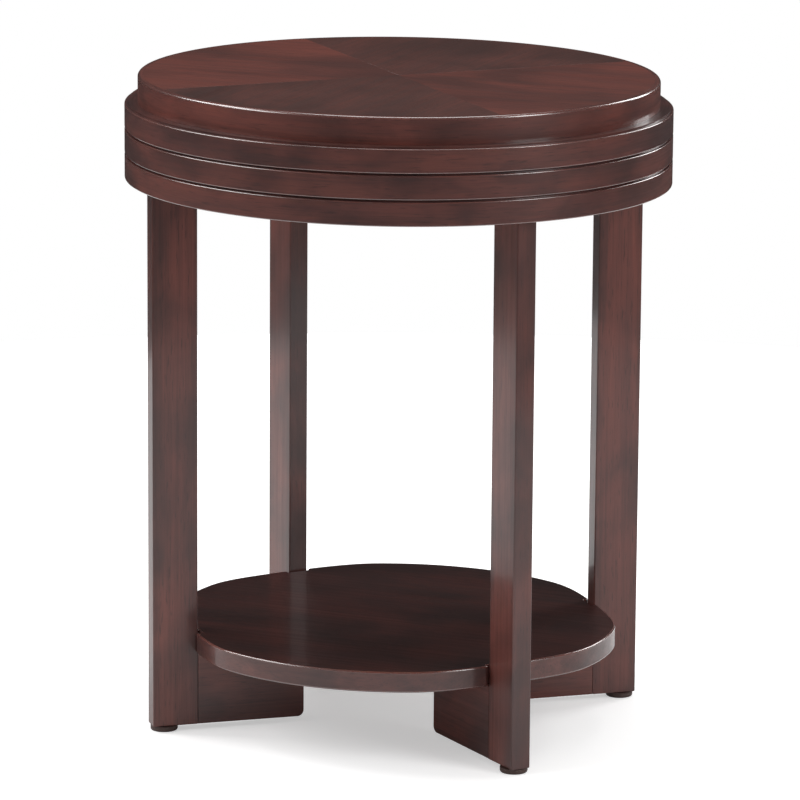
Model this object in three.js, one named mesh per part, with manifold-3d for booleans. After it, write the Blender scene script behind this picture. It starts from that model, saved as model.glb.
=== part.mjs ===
// Oval end table with a raised veneered top, a three-ring apron, four board legs and a low shelf.
// Millimetres, +Z up. The origin is on the floor under the middle of the top.
// The long axis of the oval lies along X, and the front of the table faces -Y.
import * as THREE from 'three';
import { mergeVertices } from 'three/addons/utils/BufferGeometryUtils.js';
import Module from 'manifold-3d';

// Heights
const TABLE_HEIGHT = 597;
const TOP_THICKNESS = 24.2;
const RING_THICKNESS = 23.3;
const SHELF_TOP_HEIGHT = 92;
const SHELF_THICKNESS = 19;
const GLIDE_HEIGHT = 5;

// Half lengths of the ovals along X and Y
const TOP_OVAL = { halfLength: 238, halfWidth: 226 };
const APRON_OVAL = { halfLength: 250, halfWidth: 238 };
const SHELF_OVAL = { halfLength: 205.5, halfWidth: 196 };
const OVAL_STEPS = 80;

// Top plate
const VENEER_THICKNESS = 0.9;
const LIPPING_WIDTH = 5;
const TOP_ARRIS = 2.4;

// Apron rings, stacked and glued
const RING_NAMES = ['lower', 'middle', 'upper'];
const RING_WIDTH = 63;
const RING_ARRIS = 1.2;

// Leg boards and the foot boards that butt against their inner edges
const LEG_ANGLES = { front_right: -38.8, back_right: 38.8, back_left: 141.2, front_left: 218.8 };
const LEG_OUTER_RADIUS = 232.5;
const LEG_WIDTH = 42;
const BOARD_THICKNESS = 19;
const BOARD_ARRIS = 1.6;
const FOOT_LENGTH = 100.5;
const FOOT_CORNER_RADIUS = 6;

// Shelf edge, and the flats that let it pass inside the legs
const SHELF_LEG_GAP = 3;
const SHELF_ARRIS = 1.5;

// Beech dowels
const DOWEL_RADIUS = 5;
const DOWEL_SIDES = 12;
const LEG_DOWEL_HALF_LENGTH = 20;
const LEG_DOWEL_SPACING = 22;
const FOOT_DOWEL_RADIUS = 4;
const FOOT_DOWEL_HALF_LENGTH = 18;
const FOOT_DOWEL_HEIGHTS = [21, 55];

// Wood screws
const SCREW_SHANK_RADIUS = 2.25;
const SCREW_HEAD_RADIUS = 4.2;
const SCREW_HEAD_DEPTH = 3.2;
const SCREW_TIP_LENGTH = 5;
const SCREW_SIDES = 12;
const TOP_SCREW_LENGTH = 60;
const TOP_SCREW_BITE = 15;
const TOP_SCREW_ANGLES = { right: 0, back: 90, left: 180, front: 270 };
const SHELF_SCREW_LENGTH = 38;
const SHELF_SCREW_BITE = 13;
const SHELF_SCREW_RADIUS = 140;

// Floor glides
const GLIDE_RADIUS = 12.5;
const GLIDE_EDGE = 1;
const GLIDE_NAIL_RADIUS = 1.5;
const GLIDE_NAIL_LENGTH = 14;
const GLIDE_SIDES = 24;

// Space left between glued or resting pieces, and round pieces that sit in a hole
const GLUE_GAP = 0.3;
const HOLE_CLEARANCE = 0.35;

// Share of an edge's radius that a rounded edge loses at its middle, 1 - cos 45 degrees
const ROUND_SHARE = 1 - Math.SQRT1_2;

// Heights worked out from the sizes above
const topBottom = TABLE_HEIGHT - TOP_THICKNESS;
const veneerBottom = TABLE_HEIGHT - VENEER_THICKNESS;
const apronBottom = topBottom - RING_NAMES.length * RING_THICKNESS;
const shelfBottom = SHELF_TOP_HEIGHT - SHELF_THICKNESS;
const boardBottom = GLIDE_HEIGHT;
const legInnerRadius = LEG_OUTER_RADIUS - LEG_WIDTH;
const footOuterRadius = legInnerRadius - GLUE_GAP;
const footInnerRadius = footOuterRadius - FOOT_LENGTH;
const footTop = shelfBottom - GLUE_GAP;
const glideMiddle = LEG_OUTER_RADIUS - GLIDE_RADIUS;
const topScrewHead = topBottom + TOP_SCREW_BITE - TOP_SCREW_LENGTH;
const shelfScrewHead = shelfBottom + SHELF_SCREW_BITE - SHELF_SCREW_LENGTH;

// Finishes
const lacquer = { roughness: 0.32, metalness: 0 };
const redVeneer = new THREE.MeshStandardMaterial({ color: 0x5a3833, ...lacquer });
const brownVeneer = new THREE.MeshStandardMaterial({ color: 0x452f2c, ...lacquer });
const cherry = new THREE.MeshStandardMaterial({ color: 0x4b302c, ...lacquer });
const bareBoard = new THREE.MeshStandardMaterial({ color: 0xb59a74, roughness: 0.85, metalness: 0 });
const beech = new THREE.MeshStandardMaterial({ color: 0xd2b48c, roughness: 0.8, metalness: 0 });
const steel = new THREE.MeshStandardMaterial({ color: 0xb8b8ba, roughness: 0.35, metalness: 1 });
const nylon = new THREE.MeshStandardMaterial({ color: 0x2b2523, roughness: 0.55, metalness: 0 });

const wasm = await Module();
wasm.setup();

const table = new THREE.Group();

// Small helpers

function radians(degrees) {
  return THREE.MathUtils.degToRad(degrees);
}

function addPiece(parent, name, geometry, material) {
  const mesh = new THREE.Mesh(geometry, material);
  mesh.name = name;
  parent.add(mesh);
}

function toSolid(geometry) {
  const bare = geometry.clone();
  bare.deleteAttribute('normal');
  bare.deleteAttribute('uv');
  const merged = mergeVertices(bare, 1e-3);
  return new wasm.Manifold(new wasm.Mesh({
    numProp: 3,
    vertProperties: new Float32Array(merged.attributes.position.array),
    triVerts: new Uint32Array(merged.index.array),
  }));
}

function toGeometry(solid) {
  const mesh = solid.getMesh();
  const geometry = new THREE.BufferGeometry();
  geometry.setAttribute('position', new THREE.BufferAttribute(mesh.vertProperties, 3));
  geometry.setIndex(new THREE.BufferAttribute(mesh.triVerts, 1));
  geometry.computeVertexNormals();
  return geometry;
}

function cut(geometry, cutters) {
  let solid = toSolid(geometry);
  for (const cutter of cutters) {
    solid = solid.subtract(toSolid(cutter));
  }
  return toGeometry(solid);
}

// Turns a closed profile of [inset, height] points round an oval, as a lathe turns one round a circle.
function ovalTurning(oval, profile) {
  const points = profile.map(([inset, height]) => new THREE.Vector2(oval.halfLength - inset, height));
  const geometry = new THREE.LatheGeometry(points, OVAL_STEPS);
  geometry.rotateX(Math.PI / 2);
  geometry.scale(1, oval.halfWidth / oval.halfLength, 1);
  return geometry;
}

// Distance from the middle of an oval to its edge, in a direction given in radians
function ovalRadius(oval, angle) {
  const across = oval.halfWidth * Math.cos(angle);
  const along = oval.halfLength * Math.sin(angle);
  return (oval.halfLength * oval.halfWidth) / Math.hypot(across, along);
}

// Upright cylinder from one height to another
function uprightCylinder(radius, bottom, top, sides) {
  const geometry = new THREE.CylinderGeometry(radius, radius, top - bottom, sides);
  geometry.rotateX(Math.PI / 2);
  geometry.translate(0, 0, (bottom + top) / 2);
  return geometry;
}

// Countersunk screw that points up, with its head's lower face at the given height
function screw(headBottom, length) {
  const neck = headBottom + SCREW_HEAD_DEPTH;
  const tip = headBottom + length;
  const profile = [
    new THREE.Vector2(0, headBottom),
    new THREE.Vector2(SCREW_HEAD_RADIUS, headBottom),
    new THREE.Vector2(SCREW_SHANK_RADIUS, neck),
    new THREE.Vector2(SCREW_SHANK_RADIUS, tip - SCREW_TIP_LENGTH),
    new THREE.Vector2(0, tip),
  ];
  const geometry = new THREE.LatheGeometry(profile, SCREW_SIDES);
  geometry.rotateX(Math.PI / 2);
  return geometry;
}

// Hole for that screw: a wide mouth from below up to the head, then a hole that clears the shank
function screwHole(mouthBottom, headBottom, length) {
  const mouthRadius = SCREW_HEAD_RADIUS + 2 * HOLE_CLEARANCE;
  const shankRadius = SCREW_SHANK_RADIUS + HOLE_CLEARANCE;
  const mouthTop = headBottom + SCREW_HEAD_DEPTH + HOLE_CLEARANCE;
  const profile = [
    new THREE.Vector2(0, mouthBottom),
    new THREE.Vector2(mouthRadius, mouthBottom),
    new THREE.Vector2(mouthRadius, mouthTop),
    new THREE.Vector2(shankRadius, mouthTop),
    new THREE.Vector2(shankRadius, headBottom + length + HOLE_CLEARANCE),
    new THREE.Vector2(0, headBottom + length + HOLE_CLEARANCE),
  ];
  const geometry = new THREE.LatheGeometry(profile, SCREW_SIDES);
  geometry.rotateX(Math.PI / 2);
  return geometry;
}

// Top plate: a core, a lipping round its edge and four veneer leaves that meet at the middle

const coreOval = {
  halfLength: TOP_OVAL.halfLength - LIPPING_WIDTH,
  halfWidth: TOP_OVAL.halfWidth - LIPPING_WIDTH,
};
const topScrewSpots = Object.entries(TOP_SCREW_ANGLES).map(([side, degrees]) => {
  const angle = radians(degrees);
  const radius = ovalRadius(APRON_OVAL, angle) - RING_WIDTH / 2;
  return { side, x: radius * Math.cos(angle), y: radius * Math.sin(angle) };
});

function topScrewHoles() {
  return topScrewSpots.map(({ x, y }) => {
    const hole = screwHole(apronBottom - 1, topScrewHead, TOP_SCREW_LENGTH);
    hole.translate(x, y, 0);
    return hole;
  });
}

function buildTop() {
  const core = ovalTurning(coreOval, [
    [coreOval.halfLength, topBottom],
    [0, topBottom],
    [0, veneerBottom],
    [coreOval.halfLength, veneerBottom],
  ]);
  addPiece(table, 'top_core', cut(core, topScrewHoles()), bareBoard);

  const lipping = ovalTurning(TOP_OVAL, [
    [LIPPING_WIDTH - GLUE_GAP, topBottom],
    [0, topBottom],
    [0, TABLE_HEIGHT - TOP_ARRIS],
    [ROUND_SHARE * TOP_ARRIS, TABLE_HEIGHT - ROUND_SHARE * TOP_ARRIS],
    [TOP_ARRIS, TABLE_HEIGHT],
    [LIPPING_WIDTH - GLUE_GAP, TABLE_HEIGHT],
    [LIPPING_WIDTH - GLUE_GAP, topBottom],
  ]);
  addPiece(table, 'top_lipping', lipping, cherry);

  for (const [side, degrees] of Object.entries(TOP_SCREW_ANGLES)) {
    const material = side === 'left' || side === 'right' ? redVeneer : brownVeneer;
    addPiece(table, `veneer_${side}`, veneerLeaf(radians(degrees)), material);
  }
}

// A quarter of the oval, centred on one direction, with half a seam left open along both straight edges
function veneerLeaf(middle) {
  const halfSeam = GLUE_GAP / 2;
  const quarter = Math.PI / 4;
  const steps = OVAL_STEPS / 4;
  const edge = new THREE.Shape();
  const corner = halfSeam / Math.sin(quarter);
  edge.moveTo(corner * Math.cos(middle), corner * Math.sin(middle));
  for (let step = 0; step <= steps; step += 1) {
    const share = (2 * step) / steps - 1;
    const spread = quarter - Math.asin(halfSeam / ovalRadius(coreOval, middle + share * quarter));
    const angle = middle + share * spread;
    const radius = ovalRadius(coreOval, angle) - GLUE_GAP;
    edge.lineTo(radius * Math.cos(angle), radius * Math.sin(angle));
  }
  const geometry = new THREE.ExtrudeGeometry(edge, { depth: VENEER_THICKNESS, bevelEnabled: false });
  geometry.translate(0, 0, veneerBottom);
  return geometry;
}

// Apron: three flat rings with eased outer edges, which leave a fine V groove at each joint

function legDowelSpots() {
  const middle = LEG_OUTER_RADIUS - LEG_WIDTH / 2;
  return [middle - LEG_DOWEL_SPACING / 2, middle + LEG_DOWEL_SPACING / 2];
}

function buildApron() {
  RING_NAMES.forEach((name, index) => {
    const bottom = apronBottom + index * RING_THICKNESS;
    const top = bottom + RING_THICKNESS;
    const ring = ovalTurning(APRON_OVAL, [
      [RING_WIDTH, bottom],
      [RING_ARRIS, bottom],
      [ROUND_SHARE * RING_ARRIS, bottom + ROUND_SHARE * RING_ARRIS],
      [0, bottom + RING_ARRIS],
      [0, top - RING_ARRIS],
      [ROUND_SHARE * RING_ARRIS, top - ROUND_SHARE * RING_ARRIS],
      [RING_ARRIS, top],
      [RING_WIDTH, top],
      [RING_WIDTH, bottom],
    ]);
    const cutters = topScrewHoles();
    if (name === 'lower') {
      cutters.push(...legDowelHoles());
    }
    addPiece(table, `apron_ring_${name}`, cut(ring, cutters), cherry);
  });
}

// Blind holes in the underside of the lower ring, two over each leg
function legDowelHoles() {
  const holes = [];
  for (const degrees of Object.values(LEG_ANGLES)) {
    for (const radius of legDowelSpots()) {
      const top = apronBottom + LEG_DOWEL_HALF_LENGTH + HOLE_CLEARANCE;
      const hole = uprightCylinder(DOWEL_RADIUS + HOLE_CLEARANCE, apronBottom - 1, top, DOWEL_SIDES);
      hole.translate(radius, 0, 0);
      hole.rotateZ(radians(degrees));
      holes.push(hole);
    }
  }
  return holes;
}

// Legs and feet: each pair is built along X and turned to its place as a group

function legSection() {
  const half = BOARD_THICKNESS / 2;
  const round = BOARD_ARRIS;
  const section = new THREE.Shape();
  section.absarc(LEG_OUTER_RADIUS - round, half - round, round, 0, Math.PI / 2, false);
  section.absarc(legInnerRadius + round, half - round, round, Math.PI / 2, Math.PI, false);
  section.absarc(legInnerRadius + round, round - half, round, Math.PI, 1.5 * Math.PI, false);
  section.absarc(LEG_OUTER_RADIUS - round, round - half, round, 1.5 * Math.PI, 2 * Math.PI, false);
  return section;
}

// Horizontal dowel or hole along X, centred on the joint between a leg and its foot
function footDowel(radius, halfLength, height) {
  const geometry = new THREE.CylinderGeometry(radius, radius, 2 * halfLength, DOWEL_SIDES);
  geometry.rotateZ(Math.PI / 2);
  geometry.translate(legInnerRadius, 0, height);
  return geometry;
}

function footDowelHoles() {
  const radius = FOOT_DOWEL_RADIUS + HOLE_CLEARANCE;
  const halfLength = FOOT_DOWEL_HALF_LENGTH + HOLE_CLEARANCE;
  return FOOT_DOWEL_HEIGHTS.map((height) => footDowel(radius, halfLength, height));
}

function legGeometry() {
  const top = apronBottom - GLUE_GAP;
  const board = new THREE.ExtrudeGeometry(legSection(), {
    depth: top - boardBottom,
    bevelEnabled: false,
    curveSegments: 3,
  });
  board.translate(0, 0, boardBottom);
  const cutters = footDowelHoles();
  for (const radius of legDowelSpots()) {
    const bottom = apronBottom - LEG_DOWEL_HALF_LENGTH - HOLE_CLEARANCE;
    const hole = uprightCylinder(DOWEL_RADIUS + HOLE_CLEARANCE, bottom, top + 1, DOWEL_SIDES);
    hole.translate(radius, 0, 0);
    cutters.push(hole);
  }
  const nailTop = boardBottom + GLIDE_NAIL_LENGTH + HOLE_CLEARANCE;
  const nailHole = uprightCylinder(
    GLIDE_NAIL_RADIUS + HOLE_CLEARANCE,
    boardBottom - 1,
    nailTop,
    SCREW_SIDES,
  );
  nailHole.translate(glideMiddle, 0, 0);
  cutters.push(nailHole);
  return cut(board, cutters);
}

// Elevation of the foot board, with its free lower corner rounded, given its eased edges by the bevel
function footGeometry() {
  const outline = new THREE.Shape();
  outline.moveTo(footOuterRadius, boardBottom);
  outline.lineTo(footOuterRadius, footTop);
  outline.lineTo(footInnerRadius + BOARD_ARRIS, footTop);
  outline.lineTo(footInnerRadius, footTop - BOARD_ARRIS);
  outline.lineTo(footInnerRadius, boardBottom + FOOT_CORNER_RADIUS);
  outline.absarc(
    footInnerRadius + FOOT_CORNER_RADIUS,
    boardBottom + FOOT_CORNER_RADIUS,
    FOOT_CORNER_RADIUS,
    Math.PI,
    1.5 * Math.PI,
    false,
  );
  const board = new THREE.ExtrudeGeometry(outline, {
    depth: BOARD_THICKNESS - 2 * BOARD_ARRIS,
    bevelEnabled: true,
    bevelThickness: BOARD_ARRIS,
    bevelSize: BOARD_ARRIS,
    bevelOffset: -BOARD_ARRIS,
    bevelSegments: 2,
    curveSegments: 4,
  });
  board.translate(0, 0, BOARD_ARRIS - BOARD_THICKNESS / 2);
  board.rotateX(Math.PI / 2);
  const screwHoleCutter = screwHole(boardBottom - 1, shelfScrewHead, SHELF_SCREW_LENGTH);
  screwHoleCutter.translate(SHELF_SCREW_RADIUS, 0, 0);
  return cut(board, [...footDowelHoles(), screwHoleCutter]);
}

function glideGeometry() {
  const plateTop = GLIDE_HEIGHT - GLUE_GAP;
  const profile = [
    new THREE.Vector2(0, 0),
    new THREE.Vector2(GLIDE_RADIUS - GLIDE_EDGE, 0),
    new THREE.Vector2(GLIDE_RADIUS, GLIDE_EDGE),
    new THREE.Vector2(GLIDE_RADIUS, plateTop),
    new THREE.Vector2(GLIDE_NAIL_RADIUS, plateTop),
    new THREE.Vector2(GLIDE_NAIL_RADIUS, boardBottom + GLIDE_NAIL_LENGTH - GLIDE_NAIL_RADIUS),
    new THREE.Vector2(0, boardBottom + GLIDE_NAIL_LENGTH),
  ];
  const geometry = new THREE.LatheGeometry(profile, GLIDE_SIDES);
  geometry.rotateX(Math.PI / 2);
  geometry.translate(glideMiddle, 0, 0);
  return geometry;
}

function buildLegs() {
  for (const [corner, degrees] of Object.entries(LEG_ANGLES)) {
    const group = new THREE.Group();
    group.rotation.z = radians(degrees);
    addPiece(group, `leg_${corner}`, legGeometry(), cherry);
    addPiece(group, `foot_${corner}`, footGeometry(), cherry);
    addPiece(group, `glide_${corner}`, glideGeometry(), nylon);
    legDowelSpots().forEach((radius, index) => {
      const bottom = apronBottom - LEG_DOWEL_HALF_LENGTH;
      const top = apronBottom + LEG_DOWEL_HALF_LENGTH;
      const dowel = uprightCylinder(DOWEL_RADIUS, bottom, top, DOWEL_SIDES);
      dowel.translate(radius, 0, 0);
      addPiece(group, `leg_dowel_${corner}_${index + 1}`, dowel, beech);
    });
    FOOT_DOWEL_HEIGHTS.forEach((height, index) => {
      const dowel = footDowel(FOOT_DOWEL_RADIUS, FOOT_DOWEL_HALF_LENGTH, height);
      addPiece(group, `foot_dowel_${corner}_${index + 1}`, dowel, beech);
    });
    const shelfScrew = screw(shelfScrewHead, SHELF_SCREW_LENGTH);
    shelfScrew.translate(SHELF_SCREW_RADIUS, 0, 0);
    addPiece(group, `shelf_screw_${corner}`, shelfScrew, steel);
    table.add(group);
  }
}

// Shelf: an oval board that rests on the feet, with a flat on its edge where it passes each leg

// Block that takes away all of the shelf beyond the flat that faces a leg
function flatCutter(angle) {
  const inner = legInnerRadius - SHELF_LEG_GAP;
  const depth = LEG_OUTER_RADIUS - inner;
  const geometry = new THREE.BoxGeometry(depth, SHELF_OVAL.halfLength, SHELF_THICKNESS + 2);
  geometry.translate(inner + depth / 2, 0, shelfBottom + SHELF_THICKNESS / 2);
  geometry.rotateZ(angle);
  return geometry;
}

function buildShelf() {
  const middle = SHELF_OVAL.halfLength;
  const board = ovalTurning(SHELF_OVAL, [
    [middle, shelfBottom],
    [SHELF_ARRIS, shelfBottom],
    [ROUND_SHARE * SHELF_ARRIS, shelfBottom + ROUND_SHARE * SHELF_ARRIS],
    [0, shelfBottom + SHELF_ARRIS],
    [0, SHELF_TOP_HEIGHT - SHELF_ARRIS],
    [ROUND_SHARE * SHELF_ARRIS, SHELF_TOP_HEIGHT - ROUND_SHARE * SHELF_ARRIS],
    [SHELF_ARRIS, SHELF_TOP_HEIGHT],
    [middle, SHELF_TOP_HEIGHT],
  ]);
  const cutters = [];
  for (const degrees of Object.values(LEG_ANGLES)) {
    const angle = radians(degrees);
    cutters.push(flatCutter(angle));
    const hole = screwHole(boardBottom, shelfScrewHead, SHELF_SCREW_LENGTH);
    hole.translate(SHELF_SCREW_RADIUS, 0, 0);
    hole.rotateZ(angle);
    cutters.push(hole);
  }
  addPiece(table, 'shelf', cut(board, cutters), cherry);
}

function buildTopScrews() {
  for (const { side, x, y } of topScrewSpots) {
    const geometry = screw(topScrewHead, TOP_SCREW_LENGTH);
    geometry.translate(x, y, 0);
    addPiece(table, `top_screw_${side}`, geometry, steel);
  }
}

buildTop();
buildApron();
buildTopScrews();
buildLegs();
buildShelf();

export default table;
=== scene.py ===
"""Looks of an oval end table. Metres, +Z up, origin on the floor, front towards -Y."""
import logging
import math
from collections.abc import Iterable, Sequence
from dataclasses import dataclass
from enum import Enum

import bmesh
import bpy
from mathutils import Matrix, Vector


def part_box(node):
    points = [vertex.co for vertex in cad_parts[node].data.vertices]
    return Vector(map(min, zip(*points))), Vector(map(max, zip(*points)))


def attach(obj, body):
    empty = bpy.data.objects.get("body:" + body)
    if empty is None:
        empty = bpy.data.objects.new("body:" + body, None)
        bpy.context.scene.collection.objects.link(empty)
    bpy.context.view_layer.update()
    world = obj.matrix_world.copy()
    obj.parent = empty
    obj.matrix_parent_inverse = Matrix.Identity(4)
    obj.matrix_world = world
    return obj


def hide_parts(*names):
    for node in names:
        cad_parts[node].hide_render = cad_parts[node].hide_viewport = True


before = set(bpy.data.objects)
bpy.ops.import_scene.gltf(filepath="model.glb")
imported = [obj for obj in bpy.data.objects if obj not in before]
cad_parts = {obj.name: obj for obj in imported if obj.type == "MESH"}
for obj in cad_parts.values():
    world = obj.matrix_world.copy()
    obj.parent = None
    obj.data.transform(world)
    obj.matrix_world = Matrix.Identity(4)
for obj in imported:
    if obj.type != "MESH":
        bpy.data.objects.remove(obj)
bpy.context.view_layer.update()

MM = 0.001
BODY = "root"
LOG = logging.getLogger("oval_end_table")
EIGHTH_TURN = math.pi / 4
WHITE = (1.0, 1.0, 1.0, 1.0)

# A face belongs to an eased edge if its normal's part along Z lies between these two. Such faces
# take the lighter, glossier finish that paints highlights along the edges.
SLOPE_LOW = 0.1
SLOPE_HIGH = 0.99
# Faces that meet at more than this angle keep a sharp edge between them.
SHARP_ANGLE = math.radians(50)
LARGE_FACE_WEIGHT = 90
LEAST_MITRE = 0.3
NODE_GAP = 190
FLOOR_SIDES = 128
HOOP_SIDES = 288
SENSOR_WIDTH = 36.0
# A leg flattens the shelf's edge no farther round than this.
NEAR_LEG = math.radians(60)

Socket = bpy.types.NodeSocket
Node = bpy.types.Node
Tree = bpy.types.NodeTree
Piece = bpy.types.Object
Material = bpy.types.Material
Colour = tuple[float, float, float]
Point = tuple[float, float, float]
Spot = tuple[float, float]
Source = Socket | Node | float


class Labelled(Enum):
    """Enum whose members have their name in CAD nodes."""

    @property
    def label(self) -> str:
        """The member's name as the CAD nodes spell it."""
        return self.name.lower()


class Corner(Labelled):
    """The four legs, each with its sign along X and along Y."""

    FRONT_RIGHT = (1, -1)
    BACK_RIGHT = (1, 1)
    BACK_LEFT = (-1, 1)
    FRONT_LEFT = (-1, -1)

    def direction(self, spread: float) -> float:
        """Direction of this leg, anticlockwise from +X, if it lies spread from the long axis."""
        along, aside = self.value
        return spread * aside if along > 0 else math.pi - spread * aside


class Leaf(Labelled):
    """The four veneer leaves, each with the direction of its middle in quarter turns."""

    RIGHT = 0
    BACK = 1
    LEFT = 2
    FRONT = 3


@dataclass(frozen=True)
class Oval:
    """An oval in plan, given by its half lengths along X and Y."""

    half_length: float
    half_width: float

    @classmethod
    def of_node(cls, node: str) -> "Oval":
        """The oval that bounds a CAD node."""
        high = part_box(node)[1]
        return cls(high.x, high.y)

    def less(self, inset: float) -> "Oval":
        """The oval with both half lengths made smaller by the same amount."""
        return Oval(self.half_length - inset, self.half_width - inset)

    def reach(self, direction: float) -> float:
        """Distance from the middle to the edge in a direction given in radians."""
        x, y = polar(1.0, direction)
        return 1.0 / math.hypot(x / self.half_length, y / self.half_width)


# Mesh helpers


def polar(reach: float, direction: float) -> Spot:
    """Point at some distance and in some direction from the middle."""
    return reach * math.cos(direction), reach * math.sin(direction)


def arc(x: float, y: float, radius: float, start: float, steps: int) -> list[Spot]:
    """Quarter circle about X, Y, anticlockwise from start in degrees, with both ends."""
    turns = [math.radians(start + 90 * i / steps) for i in range(steps + 1)]
    return [(x + radius * math.cos(t), y + radius * math.sin(t)) for t in turns]


def easing(radius: float, steps: int) -> list[Spot]:
    """Eased edge from the side face up, as distance inside that face and depth below the end."""
    return arc(radius, radius, radius, 180, steps)


def new_object(name: str, data: bpy.types.ID) -> Piece:
    """Object at the origin, linked to the scene.

    Args:
        name: Its name.
        data: The mesh, curve, lamp or camera that it holds.

    Returns:
        The new object.
    """
    piece = bpy.data.objects.new(name, data)
    bpy.context.scene.collection.objects.link(piece)
    return piece


def skin(name: str, rings: Sequence[Sequence[Point]]) -> Piece:
    """Closed surface through rings of points, with a face at both ends.

    Args:
        name: Name of the new object.
        rings: Rings with the same count of points, in the same order.

    Returns:
        The new object, with its faces outwards.
    """
    shell = bmesh.new()
    loops = [[shell.verts.new(point) for point in ring] for ring in rings]
    count = len(loops[0])
    for low, high in zip(loops, loops[1:]):
        for i in range(count):
            j = (i + 1) % count
            shell.faces.new((low[i], low[j], high[j], high[i]))
    shell.faces.new(list(reversed(loops[0])))
    shell.faces.new(loops[-1])
    bmesh.ops.recalc_face_normals(shell, faces=shell.faces)
    mesh = bpy.data.meshes.new(name)
    shell.to_mesh(mesh)
    shell.free()
    return new_object(name, mesh)


def turned(name: str, profile: Iterable[Spot], sides: int) -> Piece:
    """Solid of revolution about Z, from the radius, never 0, and the height of each ring."""
    turns = [math.tau * i / sides for i in range(sides)]
    return skin(name, [[(*polar(radius, t), z) for t in turns] for radius, z in profile])


def drawn_in(outline: Sequence[Spot], amount: float) -> list[Spot]:
    """Outline moved inwards by the same distance everywhere, its corners mitred.

    Args:
        outline: Points of a closed outline, anticlockwise.
        amount: Distance to move inwards.

    Returns:
        The new points, one for each old one.
    """
    moved = []
    count = len(outline)
    for i, (x, y) in enumerate(outline):
        before = Vector((x, y)) - Vector(outline[i - 1])
        after = Vector(outline[(i + 1) % count]) - Vector((x, y))
        first = Vector((-before.y, before.x)).normalized()
        second = Vector((-after.y, after.x)).normalized()
        mitre = first + second
        mitre *= amount / max(mitre.dot(first), LEAST_MITRE)
        moved.append((x + mitre.x, y + mitre.y))
    return moved


def slab(name: str, outline: Sequence[Spot], levels: Iterable[Spot]) -> Piece:
    """Solid of one outline, drawn in by some distance at the height of each ring."""
    return skin(name, [[(x, y, z) for x, y in drawn_in(outline, inset)] for inset, z in levels])


def settle(piece: Piece) -> Piece:
    """Apply the object's modifiers, so that it holds a plain mesh and no modifier.

    Args:
        piece: The object.

    Returns:
        The same object.
    """
    bpy.context.view_layer.update()
    graph = bpy.context.evaluated_depsgraph_get()
    source = piece.evaluated_get(graph)
    mesh = bpy.data.meshes.new_from_object(source, preserve_all_data_layers=True, depsgraph=graph)
    piece.modifiers.clear()
    piece.data = mesh
    mesh.name = piece.name
    return piece


def smooth(piece: Piece) -> Piece:
    """Shade rounded edges softly and keep the large faces flat.

    Args:
        piece: The piece.

    Returns:
        The same piece.
    """
    for face in piece.data.polygons:
        face.use_smooth = True
    piece.data.set_sharp_from_angle(angle=SHARP_ANGLE)
    weighted = piece.modifiers.new("Flat faces", "WEIGHTED_NORMAL")
    weighted.keep_sharp = True
    weighted.weight = LARGE_FACE_WEIGHT
    return settle(piece)


def bored(piece: Piece, cutters: Iterable[Piece]) -> Piece:
    """Cut holes in a piece and remove the cutters.

    Args:
        piece: The piece to cut.
        cutters: Closed solids to take away.

    Returns:
        The same piece.
    """
    for cutter in cutters:
        hole = piece.modifiers.new("Hole", "BOOLEAN")
        hole.operation = "DIFFERENCE"
        hole.solver = "EXACT"
        hole.object = cutter
        settle(piece)
        bpy.data.objects.remove(cutter)
    return piece


def lay_grain(
    piece: Piece, axes: str, shift: float, middle: float = 0.0, half_width: float = math.inf
) -> None:
    """Store where the wood's grain runs, for the finishes to read.

    Args:
        piece: The piece.
        axes: The axis along the grain, the one across it and the one through the board.
        shift: Distance that the grain is moved lengthways, different for each board.
        middle: Middle of the board across the grain.
        half_width: Half its width, for the toner along its edges. Infinite for none.
    """
    mesh = piece.data
    spots = [[getattr(vertex.co, axis) for axis in axes] for vertex in mesh.vertices]
    places = [(along + shift, aside - middle, deep) for along, aside, deep in spots]
    values = [part for loop in mesh.loops for part in places[loop.vertex_index]]
    mesh.attributes.new("place", "FLOAT_VECTOR", "CORNER").data.foreach_set("vector", values)
    across = [place[1] / half_width for place in places]
    mesh.attributes.new("across", "FLOAT", "POINT").data.foreach_set("value", across)


def dress(piece: Piece, *finishes: Material) -> None:
    """Give a piece some finishes and no others.

    Args:
        piece: The piece.
        finishes: The finishes, the first one for most faces.
    """
    piece.data.materials.clear()
    for finish in finishes:
        piece.data.materials.append(finish)


def hand_over(
    piece: Piece, finish: Material, nodes: Iterable[str], edge: Material | None = None
) -> None:
    """Dress a finished piece and tie it to the CAD part.

    Args:
        piece: The finished piece.
        finish: Its finish.
        nodes: CAD nodes that the piece stands for.
        edge: Finish of its eased edges, the faces that slope, lighter and glossier so that it
            paints highlights on them. None if they look like the rest.
    """
    dress(piece, *filter(None, (finish, edge)))
    if edge is not None:
        # Sloping faces get the lighter edge finish: painted highlights along the eased edges.
        for face in piece.data.polygons:
            if SLOPE_LOW < abs(face.normal.z) < SLOPE_HIGH:
                face.material_index = 1
    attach(piece, BODY)
    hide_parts(*nodes)
    LOG.info("%s: %d faces, %s", piece.name, len(piece.data.polygons), finish.name)


# Node helpers


@dataclass(frozen=True)
class Noise:
    """One make of noise, with the range of it that a finish spreads over 0 to 1."""

    stretch: Point
    detail: float
    rough: float
    bend: float = 0.0
    low: float = 0.3
    high: float = 0.7


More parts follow.
